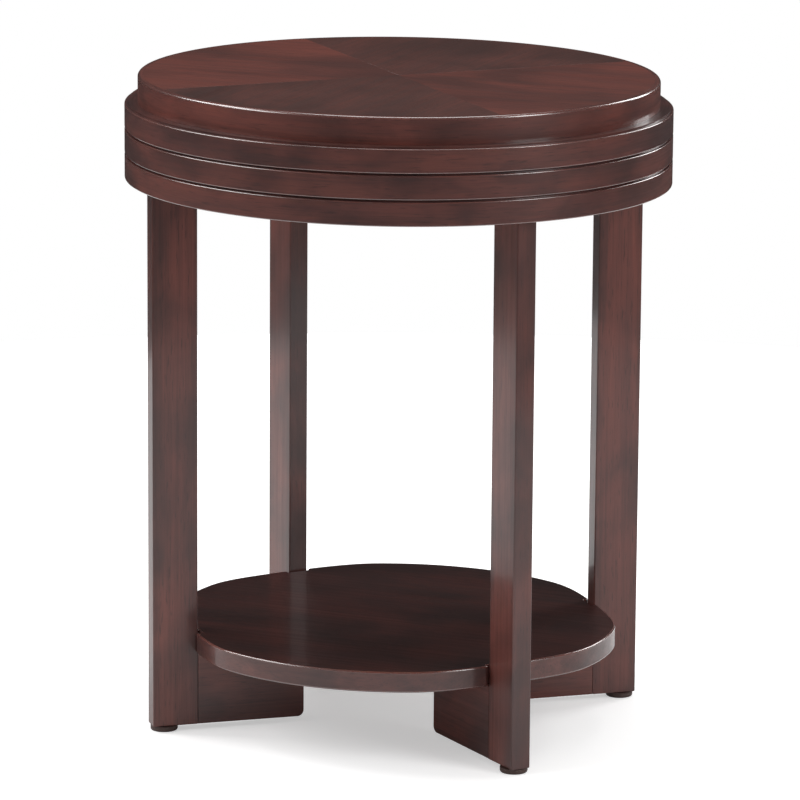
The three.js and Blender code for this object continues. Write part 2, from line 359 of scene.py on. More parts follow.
class Wiring:
    """Adds and links nodes in one tree, from left to right."""

    def __init__(self, tree: Tree) -> None:
        """Start from a tree, keeping what it holds."""
        self.tree = tree
        self.across = 0

    def add(
        self, kind: str, settings: dict | None = None, *values: object, **inputs: object
    ) -> Node:
        """Add a node.

        Args:
            kind: Blender's name of the node type.
            settings: Properties of the node, by name.
            values: What feeds its first inputs, in order.
            inputs: What feeds other inputs, each by its name with _ for a space.

        Returns:
            The new node.
        """
        node = self.tree.nodes.new(kind)
        node.location = (self.across, 0)
        self.across += NODE_GAP
        for name, value in (settings or {}).items():
            setattr(node, name, value)
        for socket, value in zip(node.inputs, values):
            self.feed(socket, value)
        self.fill(node, **inputs)
        return node

    def fill(self, node: Node, **inputs: object) -> None:
        """Feed a node's inputs, each given by its name with _ for a space."""
        for name, value in inputs.items():
            self.feed(node.inputs[name.replace("_", " ")], value)

    def feed(self, socket: Socket, value: object) -> None:
        """Link an input to another socket or to a node's first output, or set its value.

        Args:
            socket: The input.
            value: A socket, a node or a constant.
        """
        if isinstance(value, Node):
            value = value.outputs[0]
        if isinstance(value, Socket):
            self.tree.links.new(value, socket)
        else:
            socket.default_value = value

    def math(self, operation: str, *values: Source) -> Node:
        """Calculate with numbers and sockets."""
        return self.add("ShaderNodeMath", {"operation": operation}, *values)

    def sum(self, first: Source, share: float, second: Source, other: float) -> Node:
        """First source times its share, plus the second times the other share."""
        return self.math("MULTIPLY_ADD", first, share, self.math("MULTIPLY", second, other))

    def noise(self, place: Source, make: Noise) -> Node:
        """Read a noise at a place.

        Args:
            place: The place.
            make: Which noise.

        Returns:
            The noise node, about 0.5 in the mean.
        """
        place = self.add("ShaderNodeVectorMath", {"operation": "MULTIPLY"}, place, make.stretch)
        node = self.add("ShaderNodeTexNoise", {}, place, Scale=1.0, Detail=make.detail)
        self.fill(node, Roughness=make.rough, Distortion=make.bend)
        return node

    def spread(
        self, value: Source, low: float, high: float, to_low: float = 0.0, to_high: float = 1.0
    ) -> Node:
        """Map one range of values to another and hold it at both ends."""
        return self.add("ShaderNodeMapRange", {"clamp": True}, value, low, high, to_low, to_high)

    def blend(self, share: Source, first: Colour | Socket, second: Colour) -> Socket:
        """Mix two colours.

        Args:
            share: Share of the second colour.
            first: A colour or a socket.
            second: A colour.

        Returns:
            The mixed colour.
        """
        node = self.add("ShaderNodeMix", {"data_type": "RGBA"}, share)
        self.feed(node.inputs[6], first if isinstance(first, Socket) else (*first, 1.0))
        self.feed(node.inputs[7], (*second, 1.0))
        return node.outputs[2]

    def realised(self, out: Node, copies: Node, finish: Socket) -> Tree:
        """End a geometry tree: make its copies real and dress them.

        Args:
            out: The tree's output node.
            copies: The node that gives the copies.
            finish: The socket that gives their finish.

        Returns:
            The tree.
        """
        real = self.add("GeometryNodeRealizeInstances", {}, copies)
        self.fill(out, Geometry=self.add("GeometryNodeSetMaterial", {}, real, Material=finish))
        return self.tree

    def bump(self, height: Source, strength: float, depth: float) -> Node:
        """Small relief for a Normal input."""
        return self.add("ShaderNodeBump", Height=height, Strength=strength, Distance=depth)


def new_tree(
    name: str, kind: str, inputs: dict[str, str], outputs: Iterable[str] = ("Geometry",)
) -> tuple[Wiring, bpy.types.NodeOutputs, Node]:
    """Node group with named sockets.

    Args:
        name: Name of the group.
        kind: Shader for a shader group, Geometry for a geometry tree.
        inputs: Name and type of each input.
        outputs: Name of each output, a float in a shader group and else a geometry.

    Returns:
        The wiring, the sockets that give the inputs, and the group's output node.
    """
    tree = bpy.data.node_groups.new(name, f"{kind}NodeTree")
    sockets = [(label, "INPUT", form) for label, form in inputs.items()]
    form = "Float" if kind == "Shader" else kind
    sockets += [(label, "OUTPUT", form) for label in outputs]
    for label, way, form in sockets:
        tree.interface.new_socket(label, in_out=way, socket_type=f"NodeSocket{form}")
    wiring = Wiring(tree)
    return wiring, wiring.add("NodeGroupInput").outputs, tree.nodes.new("NodeGroupOutput")


def noise_group(name: str, layers: dict[str, Noise]) -> Tree:
    """Shader group with one output for each of some noises.

    Args:
        name: Name of the group.
        layers: The noises by the name of their output.

    Returns:
        The group. It reads all noises at one place, after the place is scaled.
    """
    inputs = {"Place": "Vector", "Scale": "Float"}
    wiring, given, out = new_tree(name, "Shader", inputs, layers)
    scale = given["Scale"]
    place = wiring.add("ShaderNodeVectorMath", {"operation": "SCALE"}, given["Place"], Scale=scale)
    for label, make in layers.items():
        spread = wiring.spread(wiring.noise(place, make), make.low, make.high)
        wiring.feed(out.inputs[label], spread)
    return wiring.tree


# Shader groups that the lacquered finishes share: straight-grained wood, and the soft uneven
# patches that a wiped stain and sprayed toner leave.
GRAIN = noise_group(
    "Straight grain",
    {
        "Fibre": Noise((14.0, 950.0, 950.0), detail=3.0, rough=0.6),
        "Streak": Noise((4.5, 210.0, 210.0), detail=4.0, rough=0.6, bend=0.4),
        "Figure": Noise((3.0, 34.0, 34.0), detail=3.0, rough=0.5, bend=0.9, low=0.32, high=0.68),
        "Pores": Noise((70.0, 780.0, 780.0), detail=1.0, rough=0.5, low=0.62, high=0.72),
    },
)
CLOUD = noise_group("Stain cloud", {"Cloud": Noise((0.6, 1.0, 1.0), 3.0, 0.5, bend=0.5)})


def blank_material(name: str) -> tuple[Wiring, Node]:
    """Material with a Principled shader and nothing else.

    Args:
        name: Name of the material.

    Returns:
        The wiring and the shader node.
    """
    material = bpy.data.materials.new(name)
    material.use_nodes = True
    tree = material.node_tree
    tree.nodes.clear()
    wiring = Wiring(tree)
    shader = wiring.add("ShaderNodeBsdfPrincipled")
    wiring.add("ShaderNodeOutputMaterial", Surface=shader)
    return wiring, shader


# Finishes


@dataclass(frozen=True)
class CherryLacquer:
    """Dark cherry stain on straight-grained wood, under a thin clear lacquer."""

    name: str
    deep: Colour
    body: Colour
    warm: Colour
    fineness: float = 1.0
    roughness: float = 0.42
    coat: float = 0.6
    coat_roughness: float = 0.12
    cloud_size: float = 0.06
    figure: float = 0.6
    lines: float = 0.6
    streak: float = 0.4
    mottle: float = 0.62
    toner: float = 0.5
    toner_waver: float = 0.45
    pores: float = 0.5
    pore_depth: float = 0.7
    relief: float = 0.12
    ior: float = 1.5

    def material(self) -> Material:
        """Build the material.

        Returns:
            The material.
        """
        wiring, shader = blank_material(self.name)
        place, across = (
            wiring.add("ShaderNodeAttribute", {"attribute_name": name}).outputs
            for name in ("place", "across")
        )
        grain, cloud = (
            wiring.add("ShaderNodeGroup", {"node_tree": group}, place["Vector"], scale)
            for group, scale in ((GRAIN, self.fineness), (CLOUD, 1 / self.cloud_size))
        )
        fibre, streak, figure, pores = grain.outputs
        warmth = wiring.sum(figure, self.figure, cloud, 1 - self.figure)
        lines = wiring.sum(streak, self.lines, fibre, 1 - self.lines)
        outwards = wiring.math("ABSOLUTE", across["Fac"])
        rim = wiring.math("MULTIPLY_ADD", cloud, -self.toner_waver, outwards)
        colour = wiring.blend(warmth, self.body, self.warm)
        for darkness in (
            wiring.spread(lines, 0.25, 0.75, self.streak, 0.0),
            wiring.spread(cloud, 0.1, 0.75, self.mottle, 0.0),
            wiring.spread(rim, 0.35, 0.9, 0.0, self.toner),
            wiring.math("MULTIPLY", pores, self.pores),
        ):
            colour = wiring.blend(darkness, colour, self.deep)
        rough = wiring.spread(lines, 0.2, 0.8, self.roughness + 0.05, self.roughness - 0.04)
        bump = wiring.bump(wiring.sum(fibre, 0.5, pores, -self.pore_depth), self.relief, 0.2 * MM)
        wiring.fill(shader, Base_Color=colour, Roughness=rough, Normal=bump, IOR=self.ior)
        wiring.fill(shader, Coat_Weight=self.coat, Coat_Roughness=self.coat_roughness)
        return bpy.data.materials[self.name]


@dataclass(frozen=True)
class BareWood:
    """Unfinished wood or board, read from the piece's own place in the table."""

    name: str
    light: Colour
    dark: Colour
    stretch: Point
    roughness: float = 0.8
    patchwork: Noise = Noise((18.0, 18.0, 18.0), detail=2.0, rough=0.5)

    def material(self) -> Material:
        """Build the material.

        Returns:
            The material.
        """
        wiring, shader = blank_material(self.name)
        spot = wiring.add("ShaderNodeTexCoord").outputs["Object"]
        fibres = wiring.noise(spot, Noise(self.stretch, detail=4.0, rough=0.65))
        mixed = wiring.sum(fibres, 0.7, wiring.noise(spot, self.patchwork), 0.3)
        colour = wiring.blend(wiring.spread(mixed, 0.35, 0.65), self.light, self.dark)
        rough = wiring.spread(mixed, 0.3, 0.7, self.roughness - 0.08, self.roughness + 0.08)
        bump = wiring.bump(fibres, 0.25, 0.3 * MM)
        wiring.fill(shader, Base_Color=colour, Roughness=rough, Normal=bump)
        return bpy.data.materials[self.name]


@dataclass(frozen=True)
class ZincPlate:
    """Bright zinc on a steel screw, with small dull patches."""

    name: str = "zinc plate"
    bright: Colour = (0.62, 0.62, 0.64)
    dull: Colour = (0.42, 0.42, 0.41)
    patchwork: Noise = Noise((700.0, 700.0, 700.0), detail=3.0, rough=0.6)

    def material(self) -> Material:
        """Build the material.

        Returns:
            The material.
        """
        wiring, shader = blank_material(self.name)
        patches = wiring.noise(wiring.add("ShaderNodeTexCoord").outputs["Object"], self.patchwork)
        colour = wiring.blend(wiring.spread(patches, 0.4, 0.65), self.bright, self.dull)
        rough = wiring.spread(patches, 0.3, 0.7, 0.28, 0.5)
        wiring.fill(shader, Base_Color=colour, Roughness=rough, Metallic=1.0)
        return bpy.data.materials[self.name]


@dataclass(frozen=True)
class MouldedNylon:
    """Dark moulded nylon with a fine spark texture, scuffed where it slides."""

    name: str = "moulded nylon"
    base: Colour = (0.06, 0.032, 0.027)
    scuffed: Colour = (0.13, 0.09, 0.08)
    texture: Noise = Noise((1500.0, 1500.0, 1500.0), detail=2.0, rough=0.5)
    scuffs: Noise = Noise((160.0, 900.0, 400.0), detail=3.0, rough=0.6)

    def material(self) -> Material:
        """Build the material.

        Returns:
            The material.
        """
        wiring, shader = blank_material(self.name)
        spot = wiring.add("ShaderNodeTexCoord").outputs["Object"]
        texture = wiring.noise(spot, self.texture)
        share = wiring.spread(wiring.noise(spot, self.scuffs), 0.55, 0.75, 0.0, 0.6)
        colour = wiring.blend(share, self.base, self.scuffed)
        rough = wiring.spread(texture, 0.3, 0.7, 0.45, 0.6)
        bump = wiring.bump(texture, 0.3, 0.1 * MM)
        wiring.fill(shader, Base_Color=colour, Roughness=rough, Normal=bump)
        return bpy.data.materials[self.name]


class Finishes:
    """All finishes of the table, each built once."""

    board = CherryLacquer(
        "cherry lacquer on boards",
        deep=(0.036, 0.014, 0.0125), body=(0.116, 0.0355, 0.03), warm=(0.195, 0.051, 0.036),
    ).material()
    band = CherryLacquer(
        "cherry lacquer on bands", fineness=0.8, cloud_size=0.045,
        deep=(0.03, 0.012, 0.011), body=(0.095, 0.032, 0.028), warm=(0.155, 0.045, 0.033),
    ).material()
    lipping = CherryLacquer(
        "cherry lacquer on the top's lipping", fineness=0.8,
        deep=(0.04, 0.014, 0.012), body=(0.12, 0.034, 0.027), warm=(0.185, 0.047, 0.033),
    ).material()
    # Lighter colours and a stronger reflection than the other lacquers: a painted highlight along
    # every eased edge.
    edge = CherryLacquer(
        "cherry lacquer on eased edges", roughness=0.24, coat=1.0, ior=2.1,
        deep=(0.06, 0.022, 0.02), body=(0.14, 0.05, 0.042), warm=(0.2, 0.065, 0.05),
    ).material()
    red_leaf = CherryLacquer(
        "redder veneer leaves", cloud_size=0.09,
        deep=(0.055, 0.018, 0.014), body=(0.135, 0.034, 0.025), warm=(0.2, 0.048, 0.032),
    ).material()
    brown_leaf = CherryLacquer(
        "browner veneer leaves", cloud_size=0.09,
        deep=(0.04, 0.0155, 0.0125), body=(0.088, 0.029, 0.023), warm=(0.128, 0.038, 0.028),
    ).material()
    # Far darker than the shelf's board: painted shade and a painted dark reflection of the table
    # above it, over the cherry colour.
    shelf = CherryLacquer(
        "cherry lacquer on the shelf", coat=0.3,
        deep=(0.014, 0.0055, 0.005), body=(0.033, 0.0088, 0.0078), warm=(0.056, 0.0135, 0.0105),
    ).material()
    fibreboard = BareWood(
        "bare fibreboard",
        light=(0.42, 0.3, 0.17), dark=(0.3, 0.2, 0.11), stretch=(420.0, 420.0, 420.0),
    ).material()
    beech = BareWood(
        "bare beech", roughness=0.7,
        light=(0.6, 0.42, 0.24), dark=(0.46, 0.3, 0.16), stretch=(900.0, 900.0, 120.0),
    ).material()
    zinc = ZincPlate().material()
    nylon = MouldedNylon().material()


# Geometry Nodes


def stacked_hoops() -> Tree:
    """Sweep a section round an oval, and repeat it upwards as a stack.

    Returns:
        The geometry tree.
    """
    inputs = dict.fromkeys(("Half length", "Half width", "Bottom", "Pitch"), "Float")
    inputs |= {"Section": "Object", "Count": "Int", "Finish": "Material"}
    wiring, given, out = new_tree("Stacked hoops", "Geometry", inputs)
    combine = "ShaderNodeCombineXYZ"
    circle = wiring.add("GeometryNodeCurvePrimitiveCircle", Radius=1.0, Resolution=HOOP_SIDES)
    size = wiring.add(combine, X=given["Half length"], Y=given["Half width"], Z=1.0)
    path = wiring.add("GeometryNodeTransform", Geometry=circle, Scale=size)
    upright = wiring.add("GeometryNodeSetCurveNormal", {"mode": "Z_UP"}, Curve=path)
    section = wiring.add("GeometryNodeObjectInfo", Object=given["Section"]).outputs["Geometry"]
    hoop = wiring.add("GeometryNodeCurveToMesh", Curve=upright, Profile_Curve=section)
    start = wiring.add(combine, Z=given["Bottom"])
    step = wiring.add(combine, Z=given["Pitch"])
    levels = wiring.add("GeometryNodeMeshLine", {"mode": "OFFSET"}, Count=given["Count"])
    wiring.fill(levels, Start_Location=start, Offset=step)
    stack = wiring.add("GeometryNodeInstanceOnPoints", Points=levels, Instance=hoop)
    return wiring.realised(out, stack, given["Finish"])


def four_fittings() -> Tree:
    """Set one fitting out four times, in mirrored pairs about both axes.

    Returns:
        The geometry tree.
    """
    inputs = dict.fromkeys(("Reach along", "Reach across", "Spread", "Turn"), "Float")
    inputs |= {"Fitting": "Object", "Finish": "Material"}
    wiring, given, out = new_tree("Four fittings", "Geometry", inputs)
    index = wiring.add("GeometryNodeInputIndex")
    sign = wiring.math("MULTIPLY_ADD", wiring.math("MODULO", index, 2.0), 2.0, -1.0)
    end = wiring.math("FLOOR", wiring.math("MULTIPLY", index, 0.5))
    swing = wiring.math("MULTIPLY", sign, given["Spread"])
    facing = wiring.math("MULTIPLY_ADD", end, math.pi, swing)
    angle = wiring.math("ADD", facing, given["Turn"])
    along = wiring.math("MULTIPLY", wiring.math("COSINE", angle), given["Reach along"])
    across = wiring.math("MULTIPLY", wiring.math("SINE", angle), given["Reach across"])
    spot = wiring.add("ShaderNodeCombineXYZ", X=along, Y=across)
    points = wiring.add("GeometryNodePoints", Count=4, Position=spot)
    heading = wiring.add("ShaderNodeCombineXYZ", Z=angle)
    fitting = wiring.add("GeometryNodeObjectInfo", Object=given["Fitting"]).outputs["Geometry"]
    placed = wiring.add("GeometryNodeInstanceOnPoints", Points=points, Instance=fitting)
    wiring.fill(placed, Rotation=heading)
    return wiring.realised(out, placed, given["Finish"])


# Geometry trees that several sub-assemblies share.
HOOPS = stacked_hoops()
FITTINGS = four_fittings()


def grow(name: str, tree: Tree, **inputs: object) -> Piece:
    """Run a geometry tree, keep its result as a plain mesh and remove the objects it was given.

    Args:
        name: Name of the new piece.
        tree: The geometry tree.
        inputs: Values of its inputs, each by its name with _ for a space.

    Returns:
        The new piece.
    """
    piece = new_object(name, bpy.data.meshes.new(name))
    modifier = piece.modifiers.new("Grow", "NODES")
    modifier.node_group = tree
    sockets = {item.name: item for item in tree.interface.items_tree if item.in_out == "INPUT"}
    for label, value in inputs.items():
        modifier[sockets[label.replace("_", " ")].identifier] = value
    settle(piece)
    for value in inputs.values():
        if isinstance(value, Piece):
            bpy.data.objects.remove(value)
    return piece


@dataclass(frozen=True)
class HoopStack:
    """Equal hoops, one above the other, that follow an oval."""

    oval: Oval
    bottom: float
    pitch: float
    count: int = 1
    grain_shift: float = 2.3

    def sweep(self, name: str, points: Sequence[Spot], finish: Material) -> Piece:
        """Sweep one section round the oval for every hoop.

        Args:
            name: Name of the new piece.
            points: Section of a hoop, as distance outwards from the oval and height.
            finish: Finish of the piece.

        Returns:
            The new piece.
        """
        curve = bpy.data.curves.new("section", "CURVE")
        curve.dimensions = "3D"
        spline = curve.splines.new("POLY")
        spline.points.add(len(points) - 1)
        for point, (outwards, height) in zip(spline.points, points):
            # The sweep turns heights over.
            point.co = (outwards, -height, 0.0, 1.0)
        spline.use_cyclic_u = True
        return grow(
            name,
            HOOPS,
            Half_length=self.oval.half_length,
            Half_width=self.oval.half_width,
            Section=new_object("section", curve),
            Bottom=self.bottom,
            Pitch=self.pitch,
            Count=self.count,
            Finish=finish,
        )

    def lay_grain(self, piece: Piece) -> None:
        """Store a grain that runs round each hoop, with its ends joined at the back.

        Args:
            piece: The swept piece.
        """
        mesh = piece.data
        long, wide = self.oval.half_length, self.oval.half_width
        values = []
        for face in mesh.polygons:
            level = math.floor((face.center.z - self.bottom) / self.pitch)
            spots = [mesh.vertices[i].co for i in face.vertices]
            turns = [math.atan2(spot.y / wide, spot.x / long) - math.pi / 2 for spot in spots]
            turns = [turn % math.tau for turn in turns]
            for spot, turn in zip(spots, turns):
                run = turn + math.tau if max(turns) - turn > math.pi else turn
                along = run * (long + wide) / 2 + self.grain_shift * level
                across = spot.z - self.bottom - (level + 0.5) * self.pitch
                values += [along, across, math.hypot(spot.x, spot.y)]
        mesh.attributes.new("place", "FLOAT_VECTOR", "CORNER").data.foreach_set("vector", values)


@dataclass(frozen=True)
class Ring:
    """Four places on an oval, in mirrored pairs about both axes, turned by some angle."""

    oval: Oval
    spread: float
    turn: float = 0.0

    def fit(
        self, name: str, fitting: Piece, finish: Material, nodes: Iterable[str]
    ) -> None:
        """Set a fitting out on the four places and hand it over as one piece.

        Args:
            name: Name of the new piece.
            fitting: The fitting, upright on the Z axis. It is removed.
            finish: Its finish.
            nodes: CAD nodes that the piece stands for.
        """
        piece = grow(
            name,
            FITTINGS,
            Fitting=fitting,
            Reach_along=self.oval.half_length,
            Reach_across=self.oval.half_width,
            Spread=self.spread,
            Turn=self.turn,
            Finish=finish,
        )
        hand_over(smooth(piece), finish, nodes)


# Sub-assemblies


@dataclass
class TopPlate:
    """Raised top: a core board, a lipping round it and four veneer leaves."""

    lipping_width: float = 5.0 * MM
    arris: float = 2.4 * MM
    leaf_arris: float = 0.12 * MM
    seam: float = 0.04 * MM
    veneer: float = 0.9 * MM
    steps: int = 72
    grain_shift: float = 1.7
    oval: Oval = Oval.of_node("top_lipping")
    bottom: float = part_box("top_lipping")[0].z
    top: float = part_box("top_lipping")[1].z

    def build(self) -> None:
        """Make every piece of the top."""
        self.lipping()
        for leaf in Leaf:
            self.leaf(leaf)
        dress(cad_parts["top_core"], Finishes.fibreboard)

    def lipping(self) -> None:
        """Hardwood lipping with an eased upper edge, swept round the oval."""
        height = self.top - self.bottom
        inner = self.seam - self.lipping_width
        points = [(inner, 0.0), (0.0, 0.0)]
        points += [(-inset, height - depth) for inset, depth in easing(self.arris, 6)]
        points.append((inner, height))
        hoop = HoopStack(self.oval, self.bottom, height)
        # The eased edge takes the finish with painted highlights.
        finish, edge = Finishes.lipping, Finishes.edge
        piece = smooth(hoop.sweep("top_edge_lipping", points, finish))
        hoop.lay_grain(piece)
        hand_over(piece, finish, ["top_lipping"], edge)

    def leaf(self, leaf: Leaf) -> None:
        """One quarter of the veneer, its grain running towards the middle.

        Args:
            leaf: Which quarter.
        """
        core = self.oval.less(self.lipping_width)
        middle = leaf.value * math.pi / 2
        half = self.seam / 2
        outline = [polar(half / math.sin(EIGHTH_TURN), middle)]
        for step in range(self.steps + 1):
            share = 2 * step / self.steps - 1
            lost = math.asin(half / core.reach(middle + share * EIGHTH_TURN))
            angle = middle + share * (EIGHTH_TURN - lost)
            outline.append(polar(core.reach(angle), angle))
        levels = [(0.0, self.top - self.veneer)]
        levels += [(inset, self.top - depth) for inset, depth in easing(self.leaf_arris, 2)]
        piece = smooth(slab(f"veneer_leaf_{leaf.label}", outline, levels))
        if leaf in (Leaf.LEFT, Leaf.RIGHT):
            axes, finish, slot = "xyz", Finishes.red_leaf, "veneer_red"
        else:
            axes, finish, slot = "yxz", Finishes.brown_leaf, "veneer_brown"
        lay_grain(piece, axes, self.grain_shift * leaf.value)
        hand_over(piece, finish, [f"veneer_{leaf.label}"])


@dataclass
class WoodScrew:
    """Countersunk wood screw that points up, with a cross recess in its head."""

    base: float
    length: float
    shank: float = 2.1 * MM
    head: float = 4.1 * MM
    head_depth: float = 3.2 * MM
    rim_inset: float = 0.15 * MM
    rim_height: float = 0.25 * MM
    plain_share: float = 0.35
    root_depth: float = 0.275 * MM
    crest_height: float = 0.125 * MM
    thread_pitch: float = 1.8 * MM
    point: float = 5.0 * MM
    point_step: float = 0.2 * MM
    blunt: float = 0.1 * MM
    recess_reach: float = 2.3 * MM
    recess_half: float = 0.45 * MM
    recess_depth: float = 1.9 * MM
    recess_start: float = 0.5 * MM
    recess_taper: float = 0.45
    hole_radius: float = 4.9 * MM
    hole_start: float = 1.0 * MM
    hole_past: float = 2.5 * MM
    sides: int = 24

    @classmethod
    def into(cls, surface: float, bite: float, length: float) -> "WoodScrew":
        """Screw of some length that bites some way above a surface."""
        return cls(surface + bite - length, length)

    def build(self) -> Piece:
        """Make one screw on the Z axis.

        Returns:
            The screw.
        """
        tip = self.base + self.length
        profile = [
            (self.head - self.rim_inset, self.base),
            (self.head, self.base + self.rim_height),
            (self.shank, self.base + self.head_depth),
        ]
        height = self.base + self.plain_share * self.length
        while height < tip - self.point:
            profile.append((self.shank - self.root_depth, height))
            profile.append((self.shank + self.crest_height, height + 0.5 * self.thread_pitch))
            height += self.thread_pitch
        profile += [(self.shank - self.point_step, tip - self.point), (self.blunt, tip)]
        body = turned("screw", profile, self.sides)
        return bored(body, [self.recess(0.0), self.recess(math.pi / 2)])

    def recess(self, turn: float) -> Piece:
        """Cutter for one arm of the cross recess.

        Args:
            turn: Angle of the arm in radians.

        Returns:
            The cutter.
        """
        long, wide = self.recess_reach, self.recess_half
        corners = [(-long, -wide), (long, -wide), (long, wide), (-long, wide)]
        start, end = self.base - self.recess_start, self.base + self.recess_depth
        shares = [(1.0, start), (self.recess_taper, end)]
        rings = [[(x * share, y * share, z) for x, y in corners] for share, z in shares]
        cutter = skin("recess", rings)
        cutter.data.transform(Matrix.Rotation(turn, 4, "Z"))
        return cutter

    def hole(self, x: float, y: float, bottom: float) -> Piece:
        """Cutter for the round hole that leads up to the screw's head.

        Args:
            x: X of the screw.
            y: Y of the screw.
            bottom: Height of the face that the hole starts in.

        Returns:
            The cutter.
        """
        ends = (bottom - self.hole_start, self.base + self.hole_past)
        cutter = turned("screw_hole", [(self.hole_radius, z) for z in ends], self.sides)
        cutter.data.transform(Matrix.Translation((x, y, 0.0)))
        return cutter


@dataclass
class Apron:
    """Three flat bands, stacked, with a saw-cut groove at each joint."""

    width: float = 60.0 * MM
    arris: float = 1.0 * MM
    glue_line: float = 0.06 * MM
    groove_height: float = 1.8 * MM
    groove_depth: float = 3.0 * MM
    screw_inset: float = 31.5 * MM
    screw_length: float = 60.0 * MM
    screw_bite: float = 15.0 * MM
    oval: Oval = Oval.of_node("apron_ring_lower")
    bottom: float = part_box("apron_ring_lower")[0].z
    top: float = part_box("apron_ring_upper")[1].z

    def build(self) -> None:
        """Make the bands and the four screws that hold the top, on the two axes."""
        nodes = ["apron_ring_lower", "apron_ring_middle", "apron_ring_upper"]
        pitch = (self.top - self.bottom) / len(nodes)
        stack = HoopStack(self.oval, self.bottom, pitch, len(nodes))
        screw = WoodScrew.into(self.top, self.screw_bite, self.screw_length)
        ring = self.oval.less(self.screw_inset)
        along, across = ring.half_length, ring.half_width
        spots = [(along, 0.0), (0.0, across), (-along, 0.0), (0.0, -across)]
        finish = Finishes.band
        piece = stack.sweep("apron_bands", self.band_section(pitch), finish)
        smooth(bored(piece, [screw.hole(x, y, self.bottom) for x, y in spots]))
        stack.lay_grain(piece)
        # Eased edges of the bands take the finish with painted highlights.
        hand_over(piece, finish, nodes, Finishes.edge)
        nodes = [f"top_screw_{leaf.label}" for leaf in Leaf]
        places = Ring(ring, EIGHTH_TURN, EIGHTH_TURN)
        places.fit("top_screws", screw.build(), Finishes.zinc, nodes)

    def band_section(self, pitch: float) -> list[Spot]:
        """Section of one band: eased outer edges, and a rebate above that makes the groove.

        Args:
            pitch: Height from one band to the next.

        Returns:
            Distance outwards and height of each point.
        """
        height = pitch - self.glue_line
        face_top = height - self.groove_height
        ease = easing(self.arris, 4)
        points = [(-self.width, 0.0)]
        points += [(-inset, depth) for inset, depth in reversed(ease)]
        points += [(-inset, face_top - depth) for inset, depth in ease]
        points += [(-self.groove_depth, face_top), (-self.groove_depth, height)]
        return points + [(-self.width, height)]


